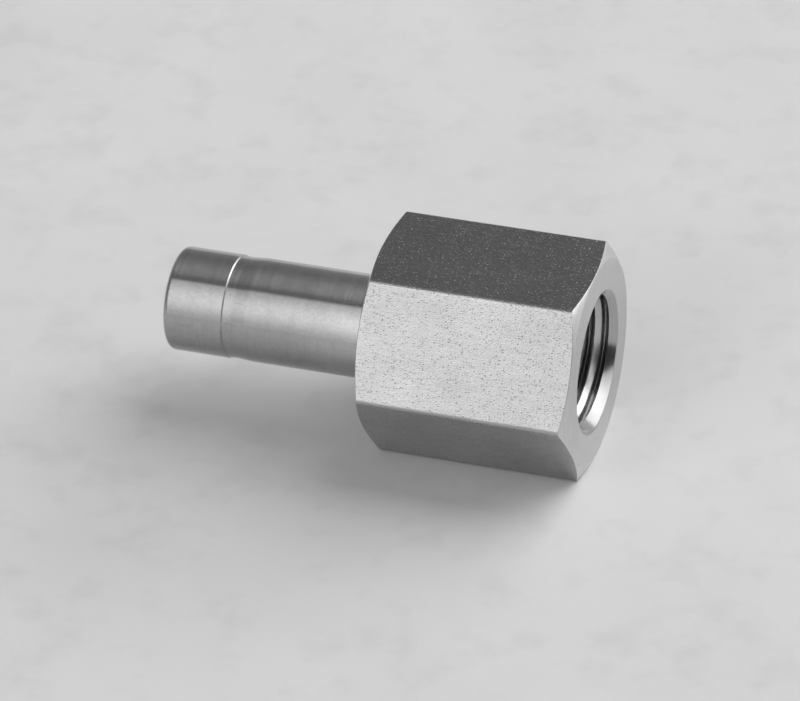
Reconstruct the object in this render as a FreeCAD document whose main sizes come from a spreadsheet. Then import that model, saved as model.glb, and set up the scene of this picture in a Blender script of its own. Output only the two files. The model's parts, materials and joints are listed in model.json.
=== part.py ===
import FreeCAD, Part
import os
import Sketcher

# Female adapter for tubing, machined in one piece from hexagon bar.
#
# The hexagon head holds a taper-tapped port. Behind it stands a plain round stub, the size of a
# tube, which is pushed into a tube fitting. A flow bore joins the two.
#
# The axis of the part is X. The origin is the centre of the port's end face, +X points out of the
# port and +Z is up. The hexagon has a flat at its top and one at its bottom, and lies on the latter.
# Every place along the axis is a distance behind the port's end face, in millimetres.

NODE = "adapter_body"
SAME_PLACE = 0.001

SIZES = [
    ("across_flats", 19.05, "hexagon bar, 3/4 inch"),
    ("hexagon_length", 19.8, "port face to the face that the stub stands on"),
    ("corner_radius", 0.5, "drawn corners of the bar"),
    ("end_face_inset", 0.12, "how far the turned end faces stop short of the flats"),
    ("end_chamfer_angle", 20, "degrees, of the turned cones at both ends of the hexagon"),
    ("stub_diameter", 9.525, "3/8 inch tube"),
    ("stub_length", 19.95, "from the hexagon to the tip"),
    ("stub_wall", 1.21, "tube wall round the flow bore"),
    ("stub_root_radius", 0.4, "left by the nose of the turning tool"),
    ("stub_tip_radius", 0.5, "rounded tip"),
    ("groove_from_tip", 5.7, "tip to the shoulder of the ferrule groove"),
    ("groove_depth", 0.11, "radial depth of the ferrule groove"),
    ("groove_land", 0.9, "cylindrical floor of the groove"),
    ("groove_ramp", 1.3, "slope from the floor back to the full diameter"),
    ("tap_drill_diameter", 11.11, "7/16 inch drill for a 1/4-18 taper pipe thread"),
    ("port_back_wall", 5.3, "from the end of the drilled wall to the back of the hexagon"),
    ("drill_point_angle", 118, "degrees, of the cone that the drill leaves"),
    ("taper_entry", 0.12, "radial growth of the tapered wall from the drilled hole to the mouth"),
    ("taper_slope", 0.03125, "radius over length, 1 in 16 on the diameter"),
    ("countersink_width", 0.95, "radial width of the countersink at the mouth"),
    ("countersink_angle", 90, "degrees, across the whole cone"),
    ("bore_break", 0.25, "chamfer that breaks the edge of the flow bore at the tip"),
]

# Radii and places that several features share, as expressions on the sheet's sizes.
HEAD_RADIUS = "Sizes.across_flats / sqrt(3)"
END_FACE_RADIUS = "(Sizes.across_flats / 2 - Sizes.end_face_inset)"
CHAMFER_DROP = f"(({HEAD_RADIUS} - {END_FACE_RADIUS}) * tan(Sizes.end_chamfer_angle * 1 deg))"
STUB_RADIUS = "(Sizes.stub_diameter / 2)"
TIP = "(Sizes.hexagon_length + Sizes.stub_length)"
SHOULDER = f"({TIP} - Sizes.groove_from_tip)"
FLOW_RADIUS = f"({STUB_RADIUS} - Sizes.stub_wall)"
DRILL_RADIUS = "(Sizes.tap_drill_diameter / 2)"
PORT_DEPTH = "(Sizes.hexagon_length - Sizes.port_back_wall)"
MOUTH_RADIUS = f"({DRILL_RADIUS} + Sizes.taper_entry + Sizes.countersink_width)"
COUNTERSINK_SLOPE = "tan(Sizes.countersink_angle / 2 * 1 deg)"


def make_sheet(doc):
    """The driving dimensions, one row each: name, value, meaning."""
    sheet = doc.addObject("Spreadsheet::Sheet", "Sizes")
    for row, (alias, value, meaning) in enumerate(SIZES, start=1):
        sheet.set(f"A{row}", alias)
        sheet.set(f"B{row}", str(value))
        sheet.set(f"C{row}", meaning)
        sheet.setAlias(f"B{row}", alias)
    doc.recompute()
    return sheet


def new_sketch(body, name, role):
    """An empty sketch on one of the body's own origin planes."""
    sketch = body.newObject("Sketcher::SketchObject", name)
    plane = next(feature for feature in body.Origin.OriginFeatures if feature.Role == role)
    sketch.AttachmentSupport = [(plane, "")]
    sketch.MapMode = "FlatFace"
    return sketch


def bind_distance(sketch, kind, vertex, name, expression):
    """Hold one coordinate of a line's start point at a distance from the origin, or on an axis."""
    x_axis, y_axis, start, origin = -1, -2, 1, (-1, 1)
    if expression == "0":
        axis = y_axis if kind == "DistanceX" else x_axis
        sketch.addConstraint(Sketcher.Constraint("PointOnObject", vertex, start, axis))
        return
    value = float(sketch.evalExpression(expression))
    ends = (vertex, start, *origin) if kind == "DistanceX" else (*origin, vertex, start)
    index = sketch.addConstraint(Sketcher.Constraint(kind, *ends, value))
    sketch.renameConstraint(index, name)
    sketch.setExpression(f"Constraints.{name}", expression)


def draw_outline(sketch, label, corners):
    """A closed outline of straight lines through corners given as (behind the port face, radius)."""
    first = len(sketch.Geometry)
    places = [
        FreeCAD.Vector(-float(sketch.evalExpression(behind)), float(sketch.evalExpression(radius)), 0)
        for behind, radius in corners
    ]
    for start, end in zip(places, places[1:] + places[:1]):
        sketch.addGeometry(Part.LineSegment(start, end), False)
    for number, (behind, radius) in enumerate(corners):
        line = first + number
        following = first + (number + 1) % len(corners)
        sketch.addConstraint(Sketcher.Constraint("Coincident", line, 2, following, 1))
        bind_distance(sketch, "DistanceX", line, f"{label}_place_{number}", behind)
        bind_distance(sketch, "DistanceY", line, f"{label}_radius_{number}", radius)


def turn(body, kind, name, outlines):
    """Revolve closed outlines round the axis, to add a turned form or to cut one away."""
    sketch = new_sketch(body, f"{name}Profile", "XZ_Plane")
    for label, corners in outlines.items():
        draw_outline(sketch, label, corners)
    feature = body.newObject(kind, name)
    feature.Profile = sketch
    feature.ReferenceAxis = (sketch, ["H_Axis"])
    feature.Angle = 360
    body.Document.recompute()
    return feature


def must_cut(before, feature):
    """Stop if a cut removed nothing, as one that points away from the solid would."""
    if feature.Shape.Volume >= before:
        raise RuntimeError(f"{feature.Name} removed no material")


def ring_edges(feature, behind, radius):
    """Names of the circular edges of this radius at this place on the axis."""
    names = []
    for number, edge in enumerate(feature.Shape.Edges, start=1):
        curve = edge.Curve
        if not isinstance(curve, Part.Circle):
            continue
        if abs(curve.Center.x + behind) < SAME_PLACE and abs(curve.Radius - radius) < SAME_PLACE:
            names.append(f"Edge{number}")
    if not names:
        raise RuntimeError(f"no edge of radius {radius} stands {behind} behind the port face")
    return names


def dress_ring(body, kind, name, size, alias, behind, radius):
    """Round or chamfer the ring edge at a place and radius that are given as expressions."""
    base = body.Tip
    place = float(base.evalExpression(behind))
    ring = ring_edges(base, place, float(base.evalExpression(radius)))
    feature = body.newObject(kind, name)
    feature.Base = (base, ring)
    feature.setExpression(size, f"Sizes.{alias}")
    body.Document.recompute()
    return feature


def add_hexagon_bar(body):
    """The bar: a hexagon with corners at its left and right, extruded back from the port face."""
    sketch = new_sketch(body, "BarSection", "YZ_Plane")
    radius = float(sketch.evalExpression(HEAD_RADIUS))
    ring = Part.makePolygon(
        [FreeCAD.Rotation(FreeCAD.Vector(0, 0, 1), 60 * corner) * FreeCAD.Vector(radius, 0, 0)
         for corner in range(7)]
    )
    for edge in ring.Edges:
        start, end = (vertex.Point for vertex in edge.Vertexes)
        sketch.addGeometry(Part.LineSegment(start, end), False)
    circle = sketch.addGeometry(
        Part.Circle(FreeCAD.Vector(), FreeCAD.Vector(0, 0, 1), radius), True)
    sketch.addConstraint(Sketcher.Constraint("Coincident", circle, 3, -1, 1))
    size = sketch.addConstraint(Sketcher.Constraint("Radius", circle, radius))
    sketch.renameConstraint(size, "corner_circle")
    sketch.setExpression("Constraints.corner_circle", HEAD_RADIUS)
    for side in range(6):
        sketch.addConstraint(Sketcher.Constraint("Coincident", side, 2, (side + 1) % 6, 1))
        sketch.addConstraint(Sketcher.Constraint("PointOnObject", side, 1, circle))
        if side:
            sketch.addConstraint(Sketcher.Constraint("Equal", 0, side))
    sketch.addConstraint(Sketcher.Constraint("PointOnObject", 0, 1, -1))
    bar = body.newObject("PartDesign::Pad", "Bar")
    bar.Profile = sketch
    bar.Reversed = True
    bar.setExpression("Length", "Sizes.hexagon_length")
    body.Document.recompute()
    return bar


def round_bar_corners(body, bar):
    """The six long edges of drawn bar are not sharp."""
    along = [f"Edge{number}" for number, edge in enumerate(bar.Shape.Edges, start=1)
             if abs(edge.tangentAt(edge.FirstParameter).x) > 1 - SAME_PLACE]
    corners = body.newObject("PartDesign::Fillet", "BarCorners")
    corners.Base = (bar, along)
    corners.setExpression("Radius", "Sizes.corner_radius")
    body.Document.recompute()
    return corners


def chamfer_ends(body):
    """Cones turned on both ends of the hexagon: they cut its corners and leave curved edges."""
    back = "Sizes.hexagon_length"
    before = body.Tip.Shape.Volume
    cones = turn(body, "PartDesign::Groove", "EndCones", {
        "port_end": [
            ("0", END_FACE_RADIUS),
            ("0", HEAD_RADIUS),
            (CHAMFER_DROP, HEAD_RADIUS),
        ],
        "stub_end": [
            (back, END_FACE_RADIUS),
            (f"{back} - {CHAMFER_DROP}", HEAD_RADIUS),
            (back, HEAD_RADIUS),
        ],
    })
    must_cut(before, cones)


def add_stub(body):
    """The tube stub, turned with its ferrule groove: an abrupt shoulder, a land and a slow ramp."""
    floor = f"{STUB_RADIUS} - Sizes.groove_depth"
    land_end = f"{SHOULDER} - Sizes.groove_land"
    turn(body, "PartDesign::Revolution", "Stub", {
        "stub": [
            ("Sizes.hexagon_length", "0"),
            ("Sizes.hexagon_length", STUB_RADIUS),
            (f"{land_end} - Sizes.groove_ramp", STUB_RADIUS),
            (land_end, floor),
            (SHOULDER, floor),
            (SHOULDER, STUB_RADIUS),
            (TIP, STUB_RADIUS),
            (TIP, "0"),
        ],
    })
    dress_ring(body, "PartDesign::Fillet", "StubRoot", "Radius", "stub_root_radius",
               "Sizes.hexagon_length", STUB_RADIUS)
    dress_ring(body, "PartDesign::Fillet", "StubTip", "Radius", "stub_tip_radius",
               TIP, STUB_RADIUS)


def cut_port(body):
    """The port: countersunk mouth, tapered entry, drilled wall and the drill's pointed end."""
    countersink_depth = f"Sizes.countersink_width / ({COUNTERSINK_SLOPE} - Sizes.taper_slope)"
    point_length = f"{DRILL_RADIUS} / tan(Sizes.drill_point_angle / 2 * 1 deg)"
    before = body.Tip.Shape.Volume
    port = turn(body, "PartDesign::Groove", "Port", {
        "port": [
            ("0", "0"),
            ("0", MOUTH_RADIUS),
            (countersink_depth, f"{MOUTH_RADIUS} - {countersink_depth} * {COUNTERSINK_SLOPE}"),
            ("Sizes.taper_entry / Sizes.taper_slope", DRILL_RADIUS),
            (PORT_DEPTH, DRILL_RADIUS),
            (f"{PORT_DEPTH} + {point_length}", "0"),
        ],
    })
    must_cut(before, port)


def cut_flow_bore(body):
    """The round bore from the port out through the tip, with its sharp edge broken."""
    sketch = new_sketch(body, "FlowBoreSection", "YZ_Plane")
    radius = float(sketch.evalExpression(FLOW_RADIUS))
    circle = sketch.addGeometry(
        Part.Circle(FreeCAD.Vector(), FreeCAD.Vector(0, 0, 1), radius), False)
    sketch.addConstraint(Sketcher.Constraint("Coincident", circle, 3, -1, 1))
    size = sketch.addConstraint(Sketcher.Constraint("Radius", circle, radius))
    sketch.renameConstraint(size, "flow_radius")
    sketch.setExpression("Constraints.flow_radius", FLOW_RADIUS)
    before = body.Tip.Shape.Volume
    bore = body.newObject("PartDesign::Pocket", "FlowBore")
    bore.Profile = sketch
    bore.Type = "ThroughAll"
    body.Document.recompute()
    must_cut(before, bore)
    dress_ring(body, "PartDesign::Chamfer", "BoreBreak", "Size", "bore_break", TIP, FLOW_RADIUS)


def make_adapter(doc):
    """The whole piece, in the order in which it would be machined."""
    body = doc.addObject("PartDesign::Body", "AdapterBody")
    body.Label = NODE
    bar = add_hexagon_bar(body)
    round_bar_corners(body, bar)
    chamfer_ends(body)
    add_stub(body)
    cut_port(body)
    cut_flow_bore(body)
    body.Placement = FreeCAD.Placement()
    doc.recompute()
    return body


def check(doc, body):
    """Nothing is written unless every feature worked and the piece is one valid solid."""
    for item in doc.Objects:
        if "Invalid" in item.State or "Error" in item.State:
            raise RuntimeError(f"{item.Label} failed: {item.State}")
    if body.Shape.isNull() or not body.Shape.isValid() or len(body.Shape.Solids) != 1:
        raise RuntimeError(f"{body.Label} is not one valid solid")


def main():
    doc = FreeCAD.newDocument("FemaleAdapter")
    make_sheet(doc)
    body = make_adapter(doc)
    check(doc, body)
    os.makedirs("parts", exist_ok=True)
    body.Shape.exportStep(f"parts/{body.Label}.step")
    box = body.Shape.BoundBox
    print(f"{body.Label}: {body.Shape.Volume:.1f} mm3, "
          f"{box.XLength:.3f} x {box.YLength:.3f} x {box.ZLength:.3f} mm")


main()
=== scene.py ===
# %% [markdown]
# A female weld adapter in stainless steel
#
# The real part is turned from one length of hexagon bar: a hexagon head with a tapped port in one
# end, and a plain round stub, the size of a tube, on the other. This lesson makes its surface in
# the order a machinist works: bar, lathe, tap, finish. The frame below is the measured solid, with
# X along the axis, the port's end face at X = 0 and the stub pointing along -X. We build on its
# sizes, so nothing has to be fitted afterwards.

# %% Load the frame and keep its box
import json
import math

import bmesh
import bpy
from mathutils import Matrix, Vector

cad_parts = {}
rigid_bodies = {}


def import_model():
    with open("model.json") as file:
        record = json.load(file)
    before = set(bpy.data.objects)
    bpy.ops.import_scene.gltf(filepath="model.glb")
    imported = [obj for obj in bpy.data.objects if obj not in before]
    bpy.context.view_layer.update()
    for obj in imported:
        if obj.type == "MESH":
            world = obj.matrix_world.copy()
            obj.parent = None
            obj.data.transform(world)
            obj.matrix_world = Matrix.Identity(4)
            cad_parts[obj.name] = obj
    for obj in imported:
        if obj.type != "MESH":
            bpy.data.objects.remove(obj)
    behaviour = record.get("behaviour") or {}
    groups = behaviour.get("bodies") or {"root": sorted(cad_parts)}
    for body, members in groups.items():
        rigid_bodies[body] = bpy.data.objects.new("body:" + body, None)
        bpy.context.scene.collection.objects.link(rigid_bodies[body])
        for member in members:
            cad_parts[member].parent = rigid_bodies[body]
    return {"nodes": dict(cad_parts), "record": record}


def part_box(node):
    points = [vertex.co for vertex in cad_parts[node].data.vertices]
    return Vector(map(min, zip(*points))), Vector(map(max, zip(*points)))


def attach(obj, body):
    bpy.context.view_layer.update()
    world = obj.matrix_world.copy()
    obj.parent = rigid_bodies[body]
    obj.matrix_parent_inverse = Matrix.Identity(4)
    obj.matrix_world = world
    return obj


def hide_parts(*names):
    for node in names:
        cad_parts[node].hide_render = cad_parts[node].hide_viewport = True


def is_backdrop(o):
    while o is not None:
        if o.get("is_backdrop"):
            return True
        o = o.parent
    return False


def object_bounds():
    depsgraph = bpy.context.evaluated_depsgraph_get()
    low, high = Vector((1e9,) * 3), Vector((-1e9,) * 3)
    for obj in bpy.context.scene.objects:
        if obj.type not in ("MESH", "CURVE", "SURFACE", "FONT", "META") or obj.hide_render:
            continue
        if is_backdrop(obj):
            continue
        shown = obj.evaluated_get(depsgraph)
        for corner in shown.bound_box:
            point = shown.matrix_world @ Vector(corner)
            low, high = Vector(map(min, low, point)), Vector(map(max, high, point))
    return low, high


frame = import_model()
cad_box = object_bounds()
low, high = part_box("adapter_body")
print("pieces in the frame:", sorted(frame["nodes"]))

# %% [markdown]
# Sizes come from the frame where it knows them: the box gives the bar and the overall length, and
# the two mounts give the stub and the drilled hole. The rest are the small sizes of a turned part,
# in millimetres times MM, because Blender works in metres.

# %% Sizes of the bar, the stub and the port
MM = 0.001
FLAT_TO_FLAT = high.z - low.z
HEX_LENGTH = 19.8 * MM
CORNER_ROUND = 0.5 * MM
END_FACE_INSET = 0.12 * MM
END_FACE_RADIUS = FLAT_TO_FLAT / 2 - END_FACE_INSET
CONE_ANGLE = math.radians(20)
TIP_X = low.x

mounts = {mount["name"]: mount for mount in frame["record"]["mounts"]}
STUB_RADIUS = mounts["tube_stub"]["dims"]["r_mm"] * MM
DRILL_RADIUS = mounts["female_port"]["dims"]["r_mm"] * MM
STUB_WALL = 1.21 * MM
FLOW_RADIUS = STUB_RADIUS - STUB_WALL
MOUTH_MARGIN = 1.07 * MM
MOUTH_RADIUS = DRILL_RADIUS + MOUTH_MARGIN
print(f"bar {FLAT_TO_FLAT / MM:.2f} mm across flats, stub {2 * STUB_RADIUS / MM:.3f} mm across")

# %% [markdown]
# The camera comes first, so that every later step can be judged from where the photograph was
# taken. It is a long lens half a metre away, which keeps the far end of the hexagon almost as
# large as the near one. Azimuth and elevation say where it stands, and a small roll tips it.

# %% Set up the camera
CAMERA_AZIMUTH = math.radians(19.689)
CAMERA_ELEVATION = math.radians(37.121)
CAMERA_ROLL = math.radians(-3.276)
CAMERA_DISTANCE = 501.09 * MM
CAMERA_TARGET = Vector((-18.328, -1.059, -1.317)) * MM
SENSOR_WIDTH = 36
FOCAL_LENGTH = 249.73


def direction(azimuth, elevation):
    """Points from the part to where something stands. Azimuth 0 is the -Y side."""
    level = math.cos(elevation)
    return Vector((math.sin(azimuth) * level, -math.cos(azimuth) * level, math.sin(elevation)))


lens = bpy.data.cameras.new("camera")
lens.sensor_width = SENSOR_WIDTH
lens.lens = FOCAL_LENGTH
camera = bpy.data.objects.new("camera", lens)
bpy.context.scene.collection.objects.link(camera)
toward_camera = direction(CAMERA_AZIMUTH, CAMERA_ELEVATION)
camera.matrix_world = (
    Matrix.Translation(CAMERA_TARGET + toward_camera * CAMERA_DISTANCE)
    @ (-toward_camera).to_track_quat("-Z", "Y").to_matrix().to_4x4()
    @ Matrix.Rotation(CAMERA_ROLL, 4, "Z")
)
bpy.context.scene.camera = camera
print("the camera stands at", [round(value / MM) for value in camera.location], "mm")

# %% [markdown]
# Node trees are easier to read when one short helper adds a node, sets its options and its plain
# values, and wires its inputs. Every finish below is made with it. A few more helpers stretch,
# multiply and add values, and the last one starts an empty material.

# %% Helpers for node trees
def add_node(tree, kind, options=None, **inputs):
    """Adds a shader node. An input, by name or as i0 and i1, is a value or another node's output."""
    node = tree.nodes.new("ShaderNode" + kind)
    for name, value in (options or {}).items():
        setattr(node, name, value)
    for name, value in inputs.items():
        numbered = name[0] == "i" and name[1:].isdigit()
        socket = node.inputs[int(name[1:])] if numbered else node.inputs[name]
        if isinstance(value, bpy.types.NodeSocket):
            tree.links.new(value, socket)
        else:
            socket.default_value = value
    return node


def remap(tree, value, low_in, high_in, low_out, high_out, curve="LINEAR"):
    """Stretches a value from one range to another and keeps it there."""
    ends = {"From Min": low_in, "From Max": high_in, "To Min": low_out, "To Max": high_out}
    return add_node(tree, "MapRange", {"interpolation_type": curve}, Value=value, **ends).outputs["Result"]


def multiply(tree, first, second):
    """The product of two values."""
    return add_node(tree, "Math", {"operation": "MULTIPLY"}, i0=first, i1=second).outputs[0]


def add(tree, first, second):
    """The sum of two values."""
    return add_node(tree, "Math", {"operation": "ADD"}, i0=first, i1=second).outputs[0]


def new_material(name):
    """An empty material that uses nodes."""
    material = bpy.data.materials.new(name)
    material.use_nodes = True
    material.node_tree.nodes.clear()
    return material


print("node helpers:", [helper.__name__ for helper in (add_node, remap, multiply, add, new_material)])

# %% [markdown]
# The part lies on a large sheet of pale paper. Paper isn't perfectly even, so a broad soft noise
# shades it by a few percent. The sheet lies a hair under the lowest flat, because two surfaces in
# exactly the same place flicker in a render.

# %% Lay the paper
PAPER_SIZE = 6.0
PAPER_GAP = 0.02 * MM
PAPER_SHADES = (0.74, 0.79)
SMUDGE_SHADES = (1.0, 0.93)

bm = bmesh.new()
bmesh.ops.create_grid(bm, x_segments=1, y_segments=1, size=PAPER_SIZE / 2)
bmesh.ops.translate(bm, verts=bm.verts, vec=(0, 0, low.z - PAPER_GAP))
paper_mesh = bpy.data.meshes.new("paper")
bm.to_mesh(paper_mesh)
bm.free()
paper = bpy.data.objects.new("paper", paper_mesh)
bpy.context.scene.collection.objects.link(paper)
paper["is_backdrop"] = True

paper_finish = new_material("paper")
tree = paper_finish.node_tree
place = add_node(tree, "TexCoord").outputs["Object"]
clouds = add_node(tree, "TexNoise", Vector=place, Scale=45.0, Detail=4.0, Roughness=0.6).outputs["Fac"]
smudges = add_node(tree, "TexNoise", Vector=place, Scale=260.0, Detail=3.0, Roughness=0.5).outputs["Fac"]
shade = multiply(tree, remap(tree, clouds, 0.3, 0.7, *PAPER_SHADES),
                 remap(tree, smudges, 0.5, 0.75, *SMUDGE_SHADES))
surface = add_node(tree, "BsdfPrincipled", Roughness=0.9,
                   **{"Base Color": shade, "Specular IOR Level": 0.2})
add_node(tree, "OutputMaterial", Surface=surface.outputs["BSDF"])
paper_mesh.materials.append(paper_finish)
print("paper laid at", round((low.z - PAPER_GAP) / MM, 2), "mm")

# %% [markdown]
# Polished metal shows its surroundings, so the lights are shaped like the panels of a small studio.
# Each is a rectangular lamp whose light can fall off towards its edges, as a real softbox's does.
# A lamp beside the part is easiest to place by its angle round the part's own axis.

# %% Helpers that build a softbox
def fall_off(tree, value, low_end, high_end):
    """A share of one in the middle of a lamp that falls to the given shares at its two ends."""
    return multiply(tree, remap(tree, value, 0.0, 0.5, low_end, 1.0, "SMOOTHSTEP"),
                    remap(tree, value, 0.5, 1.0, 1.0, high_end, "SMOOTHSTEP"))


def add_softbox(name, centre, facing, width, height, radiance,
                ends=(1.0, 1.0), foot_and_top=(1.0, 1.0)):
    """A rectangular lamp whose width stays level, with the shares of its light left at each edge."""
    light = bpy.data.lights.new(name, "AREA")
    light.shape = "RECTANGLE"
    light.size = width
    light.size_y = height
    light.energy = radiance * width * height * math.pi
    light.use_nodes = True
    light.node_tree.nodes.clear()
    tree = light.node_tree
    across_lamp = add_node(tree, "NewGeometry").outputs["Parametric"]
    spot = add_node(tree, "SeparateXYZ", Vector=across_lamp).outputs
    share = multiply(tree, fall_off(tree, spot["X"], *ends), fall_off(tree, spot["Y"], *foot_and_top))
    add_node(tree, "OutputLight", Surface=add_node(tree, "Emission", Strength=share).outputs["Emission"])
    lamp = bpy.data.objects.new(name, light)
    lamp.matrix_world = (
        Matrix.Translation(centre) @ facing.to_track_quat("-Z", "Y").to_matrix().to_4x4()
    )
    lamp.visible_camera = False
    bpy.context.scene.collection.objects.link(lamp)


def above_axis(x, angle, distance):
    """A place beside the part's axis. Angle 0 is straight behind it and 90 degrees is overhead."""
    return Vector((x, distance * math.cos(angle), distance * math.sin(angle)))


print("half a metre straight above the axis:", tuple(above_axis(0, math.pi / 2, 0.5)))

# %% [markdown]
# The key is a long softbox above and behind the part, to its right. It lights the paper and throws
# the broad shadow to the front left. A low box at the right is the white in the countersink. A tall
# panel stands in front and fills the front flat, and its upper part is the light along the stub.
# Its foot goes through the paper, because a gap there would be a dark line on the stub, and its
# light is weaker at the foot, to match the paper's.

# %% Place the softboxes
KEY_ANGLE = math.radians(57)
KEY_PLACE = above_axis(0.84, KEY_ANGLE, 1.2)
SIDE_PLACE = Vector((0.761, 0.595, 0.259)).normalized() * 1.2
PANEL_ANGLE = math.radians(142.4)
PANEL_PLACE = above_axis(-0.28, PANEL_ANGLE, 0.77)

add_softbox("key", KEY_PLACE, -above_axis(0, KEY_ANGLE, 1), width=1.54, height=1.58, radiance=2.27)
add_softbox("side", SIDE_PLACE, -SIDE_PLACE, width=2.09, height=0.64, radiance=2.0, ends=(0.5, 0.5))
add_softbox("front_panel", PANEL_PLACE, -above_axis(0, PANEL_ANGLE, 1), width=0.54, height=1.24,
            radiance=1.90, ends=(0.6, 0.6), foot_and_top=(0.54, 0.5))

# %% [markdown]
# All else is a dim room. The world's direction says which wall the steel looks at: the back wall is
# pale low down, the left wall fades upwards, the ceiling brightens overhead, and the right wall
# lights the thread's flank through the mouth. Between them the room is almost black, and so the top
# of the part is dark.

# %% Light the room
world = bpy.data.worlds.new("room")
bpy.context.scene.world = world
world.use_nodes = True
tree = world.node_tree
heading = add_node(tree, "SeparateXYZ", Vector=add_node(tree, "TexCoord").outputs["Generated"]).outputs
back_wall = multiply(tree, remap(tree, heading["Y"], 0.0, 0.3, 0.0, 1.0),
                     remap(tree, heading["Z"], 0.0, 0.5, 0.30, 0.09))
left_wall = multiply(tree, remap(tree, heading["X"], -0.45, -0.65, 0.0, 1.0),
                     remap(tree, heading["Z"], 0.4, 0.8, 0.25, 0.0))
ceiling = remap(tree, heading["Z"], 0.6, 0.95, 0.03, 0.20)
right_low = remap(tree, heading["Y"], -0.12, -0.28, 0.0, 0.75)
right_high = remap(tree, heading["Z"], 0.30, 0.50, 0.0, 1.0)
right_wall = multiply(tree, remap(tree, heading["X"], 0.75, 0.85, 0.0, 1.0),
                      add(tree, right_low, right_high))
room_light = add(tree, add(tree, ceiling, right_wall), add(tree, back_wall, left_wall))
tree.links.new(room_light, tree.nodes["Background"].inputs["Color"])
bpy.context.scene.view_settings.view_transform = "Standard"
print("room:", len(tree.nodes), "nodes")

# %% [markdown]
# One card in the room is nearly black. It stands low at the right, out of the picture, and is the
# dark break in the countersink between the paper and the side light. Photographers call it a flag.
# Only the steel sees this one: the camera doesn't, and it neither throws a shadow nor dims the
# paper.

# %% Stand the black card
CARD_SIZE = (16 * MM, 15.5 * MM)
CARD_FOOT = (33.5 * MM, -5 * MM, low.z)
CARD_SHADE = 0.09

bm = bmesh.new()
bmesh.ops.create_grid(bm, x_segments=1, y_segments=1, size=0.5,
                      matrix=Matrix.Translation((0, 0, 0.5)) @ Matrix.Rotation(math.pi / 2, 4, "Y"))
bmesh.ops.scale(bm, verts=bm.verts, vec=(1, *CARD_SIZE))
bmesh.ops.translate(bm, verts=bm.verts, vec=CARD_FOOT)
card_mesh = bpy.data.meshes.new("black_card")
bm.to_mesh(card_mesh)
bm.free()
card = bpy.data.objects.new("black_card", card_mesh)
card.visible_camera = False
card.visible_diffuse = False
card.visible_shadow = False
bpy.context.scene.collection.objects.link(card)
card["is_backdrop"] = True
card_finish = new_material("black_card")
surface = add_node(card_finish.node_tree, "BsdfDiffuse", Color=(CARD_SHADE, CARD_SHADE, CARD_SHADE, 1))
add_node(card_finish.node_tree, "OutputMaterial", Surface=surface.outputs["BSDF"])
card_mesh.materials.append(card_finish)
print("card from", [round(value / MM) for value in card_mesh.vertices[0].co], "mm")

# %% [markdown]
# The bar is a hexagon with softly drawn corners. We could draw its outline point by point, but a
# six-sided circle with bevelled vertices is the same shape in two operators. The flats are then
# divided, because the same ring of points has to make the round parts smooth later on.

# %% Draw the outline of the bar
CORNER_STEPS = 8
FLAT_STEPS = 36

body = bmesh.new()
bmesh.ops.create_circle(body, segments=6, radius=FLAT_TO_FLAT / math.sqrt(3),
                        matrix=Matrix.Rotation(math.pi / 2, 4, "Y"))
bmesh.ops.bevel(body, geom=body.verts[:], offset=CORNER_ROUND * math.tan(math.radians(30)),
                offset_type="OFFSET", segments=CORNER_STEPS, profile=0.5, affect="VERTICES", material=-1)
long_edges = [edge for edge in body.edges if edge.calc_length() > CORNER_ROUND]
bmesh.ops.subdivide_edges(body, edges=long_edges, cuts=FLAT_STEPS - 1)
print("points round the bar:", len(body.verts))

# %% [markdown]
# Everything else is turned on a lathe, so one helper, turn, does the work: it extrudes a ring of
# edges and moves each new point to a new place along the axis and a new distance from it. Every
# point keeps its own angle, so the rings line up and the sides are clean four-sided faces. Each
# stretch also gets the number of its finish, from the drawn flats to the tapped port.

# %% Helpers that turn one stretch
DRAWN, STUB, FACED, CONED, COUNTERSUNK, TAPPED = range(6)


def from_axis(place):
    """Distance from the axis."""
    return math.hypot(place.y, place.z)


def turned_to(x, radius):
    """A move that takes a point to a place and a distance along and from the axis."""
    return lambda place: Vector((x, place.y * radius / from_axis(place),
                                 place.z * radius / from_axis(place)))


def cone_drop(place):
    """How far the turned cone has cut the bar back at this point of the outline."""
    return max(0.0, from_axis(place) - END_FACE_RADIUS) * math.tan(CONE_ANGLE)


def turn(ring, move, finish):
    """Extrudes a ring to the places that move gives, and returns the new ring."""
    made = bmesh.ops.extrude_edge_only(body, edges=ring)["geom"]
    new_points = {item for item in made if isinstance(item, bmesh.types.BMVert)}
    for point in new_points:
        point.co = move(point.co)
    for item in made:
        if isinstance(item, bmesh.types.BMFace):
            item.material_index = finish
    return [item for item in made if isinstance(item, bmesh.types.BMEdge) and set(item.verts) <= new_points]


corner_drop = max(cone_drop(point.co) for point in body.verts)
print("the cone cuts the corners back by", round(corner_drop / MM, 2), "mm")

# %% [markdown]
# The port end: the cone that takes off the hexagon's corners meets the flats in six arcs. Each
# point of the bar's outline slides back along the axis by its own drop, which draws those arcs.
# Then come the flat end face, the countersink, the wall that narrows by 1/32 of the depth on each
# side, the drilled wall and the 118 degree point that the drill leaves.

# %% Turn the port end
TAPER = 1 / 32
TAPER_ENTRY = 0.12 * MM
TAPER_ALLOWANCE = 0.1 * MM * TAPER
COUNTERSINK_FOOT = DRILL_RADIUS + TAPER_ENTRY
DRILLED_DEPTH = 14.5 * MM
DRILL_ANGLE = math.radians(118)
DRILL_POINT = (DRILL_RADIUS - FLOW_RADIUS) / math.tan(DRILL_ANGLE / 2)

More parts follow.
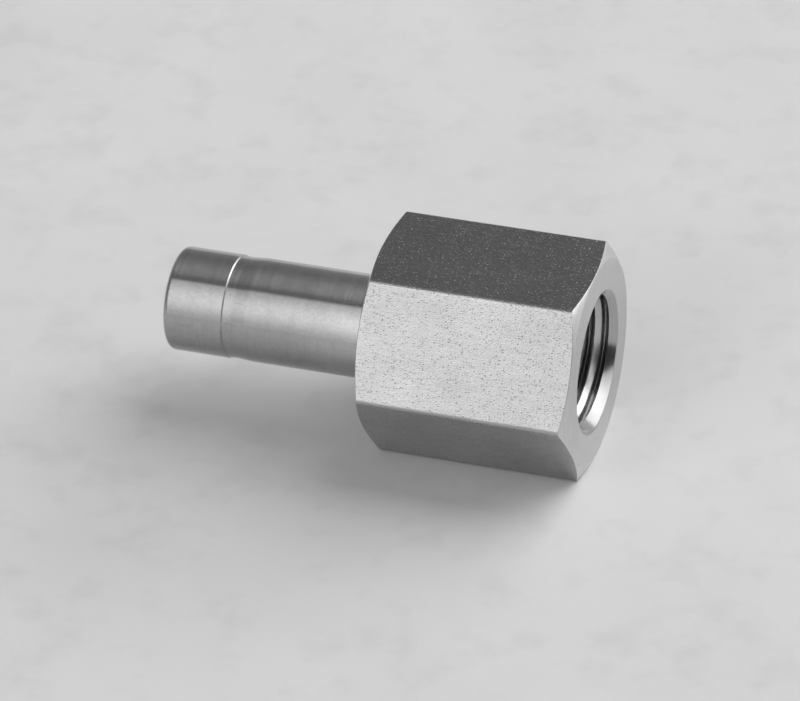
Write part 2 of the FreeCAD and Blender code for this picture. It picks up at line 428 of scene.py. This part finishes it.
front_arcs = body.edges[:]
for point in body.verts:
    point.co.x = -cone_drop(point.co)
end_face = turn(front_arcs, turned_to(0, END_FACE_RADIUS), CONED)
mouth = turn(end_face, turned_to(0, MOUTH_RADIUS), FACED)
foot_x = COUNTERSINK_FOOT - MOUTH_RADIUS - TAPER_ALLOWANCE
foot = turn(mouth, turned_to(foot_x, COUNTERSINK_FOOT + foot_x * TAPER), COUNTERSUNK)
taper_end = turn(foot, turned_to(-TAPER_ENTRY / TAPER, DRILL_RADIUS), TAPPED)
drill_end = turn(taper_end, turned_to(-DRILLED_DEPTH, DRILL_RADIUS), TAPPED)
point_end = turn(drill_end, turned_to(-DRILLED_DEPTH - DRILL_POINT, FLOW_RADIUS), TAPPED)
print("the drill point ends", round((DRILLED_DEPTH + DRILL_POINT) / MM, 2), "mm behind the face")

# %% [markdown]
# The other way from the same outline run the flats, the back cone, the back face and the stub. A
# shallow groove near the tip holds the ferrule of a tube fitting: a ramp down, a short land and a
# shoulder, which is square until its edge is broken below. The stub's inner edge and the drill
# point are the two open rings that are left, and a bridge between them is the wall of the flow bore.

# %% Turn the stub end
GROOVE_DEPTH = 0.11 * MM
GROOVE_FROM_TIP = 5.7 * MM
LAND_LENGTH = 0.9 * MM
RAMP_LENGTH = 1.3 * MM
SHOULDER_X = TIP_X + GROOVE_FROM_TIP
LAND_X = SHOULDER_X + LAND_LENGTH
RAMP_X = LAND_X + RAMP_LENGTH

back_arcs = turn(front_arcs, lambda place: Vector((cone_drop(place) - HEX_LENGTH, place.y, place.z)), DRAWN)
back_face = turn(back_arcs, turned_to(-HEX_LENGTH, END_FACE_RADIUS), CONED)
root = turn(back_face, turned_to(-HEX_LENGTH, STUB_RADIUS), FACED)
ramp_start = turn(root, turned_to(RAMP_X, STUB_RADIUS), STUB)
ramp_end = turn(ramp_start, turned_to(LAND_X, STUB_RADIUS - GROOVE_DEPTH), STUB)
shoulder_foot = turn(ramp_end, turned_to(SHOULDER_X, STUB_RADIUS - GROOVE_DEPTH), STUB)
shoulder = turn(shoulder_foot, turned_to(SHOULDER_X, STUB_RADIUS), STUB)
tip = turn(shoulder, turned_to(TIP_X, STUB_RADIUS), STUB)
tip_bore = turn(tip, turned_to(TIP_X, FLOW_RADIUS), STUB)
wall = bmesh.ops.bridge_loops(body, edges=tip_bore + point_end)["faces"]
for face in wall:
    face.material_index = TAPPED
bmesh.ops.recalc_face_normals(body, faces=body.faces)
print("faces on the turned body:", len(body.faces))
print("open edges:", sum(edge.is_boundary for edge in body.edges))

# %% [markdown]
# No machined edge is perfectly sharp. Even a tenth of a millimetre of rounding catches a line of
# light, and the eye reads that line as metal. Each ring of edges gets the width it has on the
# part: half a millimetre at the tip, a tool nose at the root, and hardly anything elsewhere. The
# groove's shoulder gets a single flat step, a chamfer, which is the bright line round the stub.

# %% Round the edges
def round_ring(ring, width, steps):
    """Rounds one ring of edges."""
    bmesh.ops.bevel(body, geom=ring, offset=width, offset_type="OFFSET", segments=steps, profile=0.5,
                    affect="EDGES", clamp_overlap=True, material=-1)


round_ring(tip, width=0.5 * MM, steps=8)
round_ring(root, width=0.4 * MM, steps=6)
round_ring(tip_bore, width=0.25 * MM, steps=2)
round_ring(mouth, width=0.12 * MM, steps=4)
round_ring(front_arcs, width=0.02 * MM, steps=2)
round_ring(back_arcs, width=0.04 * MM, steps=3)
round_ring(end_face, width=0.05 * MM, steps=2)
round_ring(back_face, width=0.05 * MM, steps=2)
round_ring(shoulder, width=0.1 * MM, steps=1)
round_ring(ramp_start, width=0.15 * MM, steps=2)
round_ring(ramp_end, width=0.15 * MM, steps=2)
print("faces with rounded edges:", len(body.faces))

# %% [markdown]
# The thread is cut as a tap cuts it. The tap here is one V-shaped ridge, swept along a screw line
# with the spin operator: each small turn also moves a little along the axis. The thread has 60
# degrees and 18 turns to the inch, as a pipe thread of this size does. The flank that faces the
# mouth comes out fuller than a new tap would leave it, because the photograph shows a wide band of
# light there.

# %% Sweep the tap's ridge
PITCH = 25.4 * MM / 18
MAJOR_RADIUS = 6.808 * MM
ROOT_FLAT = 0.08 * MM
FLANK = math.tan(math.radians(30))
CREST_ROUND = 0.05 * MM
WORN_FLANK = (PITCH - 0.11 * MM, MAJOR_RADIUS - 0.65 * MM)
WORN_ROUND = 0.12 * MM
THREAD_PHASE = -1.2007 * MM
TURNS = 11
STEPS_A_TURN = 144

tap = bmesh.new()
half_flat = ROOT_FLAT / 2
valley = MAJOR_RADIUS - (PITCH / 2 - half_flat) / FLANK
first_turn = THREAD_PHASE - (TURNS - 2) * PITCH
corners = ((-half_flat, MAJOR_RADIUS), (half_flat, MAJOR_RADIUS), (PITCH / 2, valley), WORN_FLANK,
           (PITCH - half_flat, MAJOR_RADIUS))
ridge = [tap.verts.new((first_turn + x, radius, 0)) for x, radius in corners]
for pair in zip(ridge, ridge[1:]):
    tap.edges.new(pair)
for point, width in ((ridge[2], CREST_ROUND / FLANK), (ridge[3], WORN_ROUND)):
    bmesh.ops.bevel(tap, geom=[point], offset=width, offset_type="OFFSET", segments=4, profile=0.5,
                    affect="VERTICES", material=-1)
bmesh.ops.spin(tap, geom=tap.verts[:] + tap.edges[:], cent=(0, 0, 0), axis=(1, 0, 0),
               dvec=(PITCH / STEPS_A_TURN, 0, 0), angle=math.tau * TURNS,
               steps=STEPS_A_TURN * TURNS, use_merge=False)
print("points on the swept ridge:", len(tap.verts))

# %% [markdown]
# The swept turns only touch, so their seams are merged. Two cuts trim the ragged first and last
# turn, and two faces close the ends. The result is a rod with a thread on it and nothing open,
# which is what a Boolean needs.

# %% Trim the tap to a closed rod
SEAM = 0.002 * MM
TAP_FRONT = 0.5 * PITCH
TAP_NOSE = -9.2 * PITCH

bmesh.ops.remove_doubles(tap, verts=tap.verts, dist=SEAM)
for x, side in ((TAP_FRONT, "clear_outer"), (TAP_NOSE, "clear_inner")):
    bmesh.ops.bisect_plane(tap, geom=tap.verts[:] + tap.edges[:] + tap.faces[:], plane_co=(x, 0, 0),
                           plane_no=(1, 0, 0), **{side: True})
bmesh.ops.holes_fill(tap, edges=[edge for edge in tap.edges if edge.is_boundary], sides=0)
print("tap:", len(tap.faces), "faces, open edges:", sum(edge.is_boundary for edge in tap.edges))

# %% [markdown]
# A real thread has two ends. Near the tap's nose the ridges shrink to nothing, which is its lead. At
# the mouth the groove starts at one place, low on the near side. Points of the tap beyond that place
# sink below the wall and cut nothing, and those of the first turn stay under a shallow cone that
# opens as the turn goes in. The rings of points beside the start slide along the screw line until
# they almost meet, which makes the start a steep wall.

# %% Taper the tap and start the thread
START_ANGLE = math.radians(-101.25)
START_X = THREAD_PHASE + (START_ANGLE / math.tau + 1) * PITCH
START_EDGE = 0.40 * MM
START_SLOPE = 0.45
START_RISE = 2.0 * MM
START_WALL = math.radians(0.1)
START_REACH = math.tau / STEPS_A_TURN
SUNK_RADIUS = COUNTERSINK_FOOT - 0.2 * MM
LEAD_START = -8.2 * MM
LEAD_SLOPE = 0.45


def lead_limit(x):
    """The greatest radius of the tap in its lead."""
    return MAJOR_RADIUS + LEAD_START * TAPER + (x - LEAD_START) * LEAD_SLOPE


def start_limit(x, past_start):
    """The greatest radius of the tap in the turn where the thread starts."""
    turn_share = (past_start / math.tau) % 1.0
    if x > START_X + (turn_share - 0.5) * PITCH:
        return SUNK_RADIUS
    if x > START_X + (turn_share - 1.5) * PITCH:
        mouth_limit = MOUTH_RADIUS + (1.0 - turn_share) * START_RISE
        return mouth_limit - START_EDGE + (x + START_EDGE) * START_SLOPE
    return math.inf


for point in tap.verts:
    angle = math.atan2(point.co.z, point.co.y)
    past_start = math.remainder(angle - START_ANGLE, math.tau)
    tapered = from_axis(point.co) + point.co.x * TAPER
    new_radius = min(tapered, lead_limit(point.co.x), start_limit(point.co.x, past_start))
    if abs(past_start) < START_REACH:
        slide = math.copysign(START_WALL, past_start) - past_start
        angle += slide
        point.co.x += PITCH * slide / math.tau
    point.co.yz = new_radius * math.cos(angle), new_radius * math.sin(angle)
for face in tap.faces:
    face.material_index = TAPPED
bmesh.ops.recalc_face_normals(tap, faces=tap.faces)
print("widest point of the tap:", round(max(from_axis(point.co) for point in tap.verts) / MM, 3), "mm")

# %% [markdown]
# Now the tap is taken out of the body with an exact Boolean. Its result is baked into the mesh,
# and the tap is deleted, because only the finished part should stay in the scene.

# %% Cut the thread
def make_object(name, mesh_data):
    """Puts a bmesh into the scene as an object and frees it."""
    mesh = bpy.data.meshes.new(name)
    mesh_data.to_mesh(mesh)
    mesh_data.free()
    thing = bpy.data.objects.new(name, mesh)
    bpy.context.scene.collection.objects.link(thing)
    return thing


adapter = make_object("adapter", body)
tap_object = make_object("tap", tap)
cut = adapter.modifiers.new("thread", "BOOLEAN")
cut.operation = "DIFFERENCE"
cut.solver = "EXACT"
cut.object = tap_object
threaded = bpy.data.meshes.new_from_object(adapter.evaluated_get(bpy.context.evaluated_depsgraph_get()))
adapter.modifiers.clear()
adapter.data = threaded
bpy.data.objects.remove(tap_object)
print("faces with the thread:", len(threaded.polygons))

# %% [markdown]
# Brushed and turned metal blurs reflections across its tool marks. The shader needs to know which
# way that is, so every face gets a UV map: U runs along the profile that the tool followed, and V
# is the angle round the axis. Edges sharper than 25 degrees stay crisp, and weighted normals keep
# the large flat faces flat.

# %% Map the profile and set the shading
SHARP_ANGLE = math.radians(25)
SLIVER = 0.0005 * MM

bm = bmesh.new()
bm.from_mesh(threaded)
bmesh.ops.dissolve_degenerate(bm, edges=bm.edges, dist=SLIVER)
profile_map = bm.loops.layers.uv.new("profile")
for face in bm.faces:
    face.smooth = True
    middle = face.calc_center_median()
    middle_angle = math.atan2(middle.z, middle.y)
    for loop in face.loops:
        place = loop.vert.co
        turn_angle = math.remainder(math.atan2(place.z, place.y) - middle_angle, math.tau) + middle_angle
        loop[profile_map].uv = ((place.x + from_axis(place)) / MM, turn_angle / math.tau)
bm.to_mesh(threaded)
print("open edges:", sum(edge.is_boundary for edge in bm.edges))
print("loose points:", sum(not point.link_faces for point in bm.verts))
bm.free()
threaded.set_sharp_from_angle(angle=SHARP_ANGLE)
weighted = adapter.modifiers.new("flat faces", "WEIGHTED_NORMAL")
weighted.keep_sharp = True

# %% [markdown]
# Steel reflects about two thirds of the light, evenly grey. What tells the finishes apart is their
# grain. All of them use Object coordinates in millimetres, and the turned ones rearrange them so
# that the first coordinate follows the tool along the profile.

# %% Helpers for coordinates in millimetres
def millimetres(tree):
    """Object coordinates in millimetres."""
    place = add_node(tree, "TexCoord").outputs["Object"]
    return add_node(tree, "VectorMath", {"operation": "SCALE"}, i0=place, Scale=1 / MM).outputs[0]


def along_profile(tree, place):
    """Coordinates whose X follows the profile, so a pattern stretched round the axis makes rings."""
    parts = add_node(tree, "SeparateXYZ", Vector=place)
    across = add_node(tree, "CombineXYZ", Y=parts.outputs["Y"], Z=parts.outputs["Z"])
    radius = add_node(tree, "VectorMath", {"operation": "LENGTH"}, i0=across.outputs[0]).outputs["Value"]
    travel = add(tree, parts.outputs["X"], radius)
    return add_node(tree, "CombineXYZ", X=travel, Y=parts.outputs["Y"], Z=parts.outputs["Z"]).outputs[0]


def stretched(tree, place, stretch):
    """Coordinates with their own number of features to the millimetre along each axis."""
    return add_node(tree, "VectorMath", {"operation": "MULTIPLY"}, i0=place, i1=stretch).outputs[0]


def noise(tree, place, stretch, detail=3.0, roughness=0.5):
    """Cloudy noise, stretched."""
    return add_node(tree, "TexNoise", Vector=stretched(tree, place, stretch), Scale=1.0, Detail=detail,
                    Roughness=roughness).outputs["Fac"]


print("patterns are laid out in steps of", MM, "m")

# %% [markdown]
# All turned surfaces share one recipe. Fine rings follow the tool. They shade the metal a little,
# and blur reflections along the profile more than round it: that is the streak. Broad smears come
# from coolant and hands, and a fine grain lies over them. The stub's colour also darkens from its
# middle to its tip: that is painted shade, for light that is brighter near the hexagon. Only the
# amounts differ from surface to surface.

# %% A recipe for turned surfaces
RING_SHADES = (0.90, 1.0)
# Where the stub's painted shade sets in, in millimetres along the profile: its colour darkens towards the
# tip, for light that is brighter near the hexagon.
PAINTED_SHADE_SPAN = (-24.0, -15.5)


def turned_finish(name, tint, sheen, streak, ring_depth, smear, painted_tip_shade=0.0):
    """Sheen is roughness and streak anisotropy. Smear, and the painted shade towards the tip, are shares of
    the tint.
    """
    material = new_material(name)
    tree = material.node_tree
    place = along_profile(tree, millimetres(tree))
    travel = add_node(tree, "SeparateXYZ", Vector=place).outputs["X"]
    rings = noise(tree, place, (6.0, 0.05, 0.05), detail=3.0, roughness=0.6)
    clouds = noise(tree, place, (0.9, 0.45, 0.45), detail=4.0, roughness=0.6)
    shade = multiply(tree, remap(tree, clouds, 0.3, 0.7, 1.0 - smear, 1.0),
                     remap(tree, rings, 0.3, 0.7, *RING_SHADES))
    grain = noise(tree, place, (4.0, 5.0, 5.0), detail=2.0)
    shade = multiply(tree, shade, remap(tree, grain, 0.3, 0.7, 1.0 - smear, 1.0))
    # Painted shade: the tint darkens from the stub's middle to its tip, for light that is brighter near the
    # hexagon.
    shade = multiply(tree, shade, remap(tree, travel, *PAINTED_SHADE_SPAN, 1.0 - painted_tip_shade, 1.0, "SMOOTHSTEP"))
    relief = add_node(tree, "Bump", Height=rings, Strength=1.0, Distance=ring_depth)
    tangent = add_node(tree, "Tangent", {"direction_type": "UV_MAP", "uv_map": "profile"})
    surface = add_node(tree, "BsdfPrincipled", Metallic=1.0, Anisotropic=streak,
                       Normal=relief.outputs["Normal"],
                       Roughness=remap(tree, rings, 0.3, 0.7, sheen * 0.9, sheen * 1.1),
                       Tangent=tangent.outputs["Tangent"],
                       **{"Base Color": multiply(tree, shade, tint)})
    add_node(tree, "OutputMaterial", Surface=surface.outputs["BSDF"])
    return material


# The stub's 0.14 below is painted shade towards its tip.
stub = turned_finish("turned_stub", tint=0.605, sheen=0.24, streak=0.9, ring_depth=0.0004 * MM,
                     smear=0.10, painted_tip_shade=0.14)
faced = turned_finish("faced_end", tint=0.66, sheen=0.22, streak=0.8, ring_depth=0.0003 * MM,
                      smear=0.05)
coned = turned_finish("turned_cone", tint=0.72, sheen=0.30, streak=0.3, ring_depth=0.0003 * MM,
                      smear=0.05)
countersunk = turned_finish("countersink", tint=0.47, sheen=0.15, streak=0.0,
                            ring_depth=0.0002 * MM, smear=0.05)
tapped = turned_finish("tapped_thread", tint=0.60, sheen=0.24, streak=0.7, ring_depth=0.0006 * MM,
                       smear=0.08)
print("turned finishes:", [finish.name for finish in (stub, faced, coned, countersunk, tapped)])

# %% [markdown]
# The drawn flats keep the skin of the bar: fine pits, a little longer along the bar than across
# it, in an uneven surface with faint streaks. A pit is both a dent and a rough spot, so it looks
# dark on a flat that mirrors a lamp and pale on one that mirrors the dark room. Paint couldn't do
# both.

# %% The drawn finish
PITS_A_MM = (3.8, 8.5, 8.5)
SKIN_SHARE = 1.8
RELIEF_DEPTH = 0.0125 * MM
SMOOTH_AND_PITTED = (0.20, 0.55)

drawn = new_material("drawn_flats")
tree = drawn.node_tree
place = millimetres(tree)
cells = add_node(tree, "TexVoronoi", Vector=stretched(tree, place, PITS_A_MM), Scale=1.0)
amount = add_node(tree, "SeparateColor", Color=cells.outputs["Color"]).outputs["Red"]
dent = multiply(tree, remap(tree, cells.outputs["Distance"], 0.05, 0.5, 1.0, 0.0, "SMOOTHSTEP"),
                remap(tree, amount, 0.4, 1.0, 0.0, 1.0))
skin = noise(tree, place, (6.0, 15.0, 15.0), detail=1.0)
height = multiply(tree, add(tree, dent, multiply(tree, skin, -SKIN_SHARE)), -1.0)
patches = noise(tree, place, (0.15, 0.3, 0.3), detail=3.0)
streaks = noise(tree, place, (0.6, 4.0, 4.0), detail=2.0)
tint = multiply(tree, remap(tree, patches, 0.3, 0.7, 0.47, 0.53),
                remap(tree, streaks, 0.3, 0.7, 0.91, 1.0))
relief = add_node(tree, "Bump", Height=height, Strength=1.0, Distance=RELIEF_DEPTH)
surface = add_node(tree, "BsdfPrincipled", Metallic=1.0, Normal=relief.outputs["Normal"],
                   Roughness=remap(tree, dent, 0.0, 0.8, *SMOOTH_AND_PITTED),
                   **{"Base Color": tint})
add_node(tree, "OutputMaterial", Surface=surface.outputs["BSDF"])
print("drawn finish:", len(tree.nodes), "nodes")

# %% [markdown]
# Each stretch of the profile already has the number of its finish, so the finishes only have to be
# added in the same order.

# %% Give the surfaces their finishes
for finish in (drawn, stub, faced, coned, countersunk, tapped):
    threaded.materials.append(finish)
faces_by_finish = [0] * len(threaded.materials)
for face in threaded.polygons:
    faces_by_finish[face.material_index] += 1
print("faces by finish:", dict(zip(threaded.materials.keys(), faces_by_finish)))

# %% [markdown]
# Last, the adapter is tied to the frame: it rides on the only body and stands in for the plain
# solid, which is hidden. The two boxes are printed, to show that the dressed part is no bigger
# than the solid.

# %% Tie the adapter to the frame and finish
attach(adapter, "root")
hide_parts("adapter_body")

new_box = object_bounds()
sizes = {"cad": [list(corner) for corner in cad_box], "visual": [list(corner) for corner in new_box]}
for name, box in sizes.items():
    print(name, "box in mm:", [[round(value / MM, 3) for value in corner] for corner in box])
